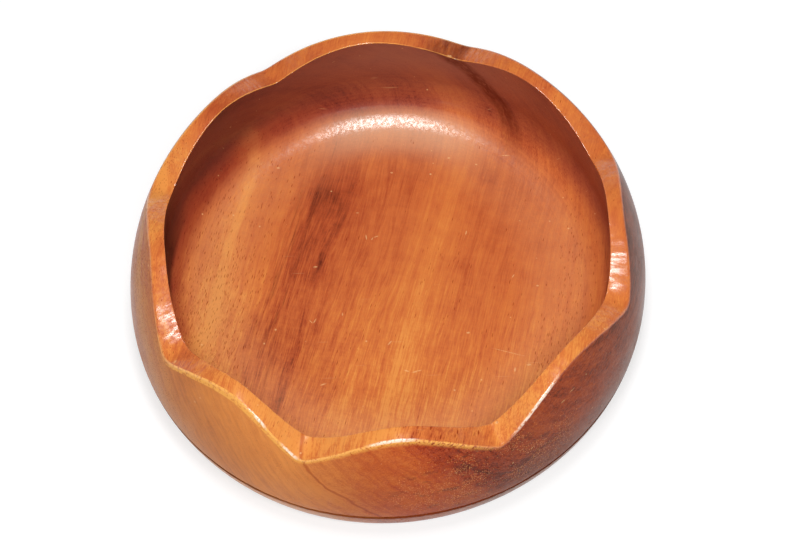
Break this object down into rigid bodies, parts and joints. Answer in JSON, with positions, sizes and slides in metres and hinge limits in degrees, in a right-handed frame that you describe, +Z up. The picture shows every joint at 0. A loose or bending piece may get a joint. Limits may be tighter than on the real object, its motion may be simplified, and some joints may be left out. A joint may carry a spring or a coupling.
{
  "type": "wooden bowl",
  "caption": "Small turned hardwood bowl with an incurved wall, a scalloped rim and a wide flat base, glued up from two boards.",
  "frame": {"origin": "on the flat underside, at the middle of the bowl", "axes": "+Z up out of the bowl's mouth, -Y towards the side that the picture shows in front"},
  "size_m": [0.1606, 0.1581, 0.0524],
  "materials": {
    "body_wood": "warm orange-brown hardwood with tilted growth bands and fine dark pores, under a worn satin lacquer",
    "base_wood": "the same hardwood from another board, a little paler, with dark flecks, under the same worn satin lacquer"
  },
  "bodies": {
    "root": {"bowl_body": "body_wood", "base_board": "base_wood"}
  },
  "joints": []
}
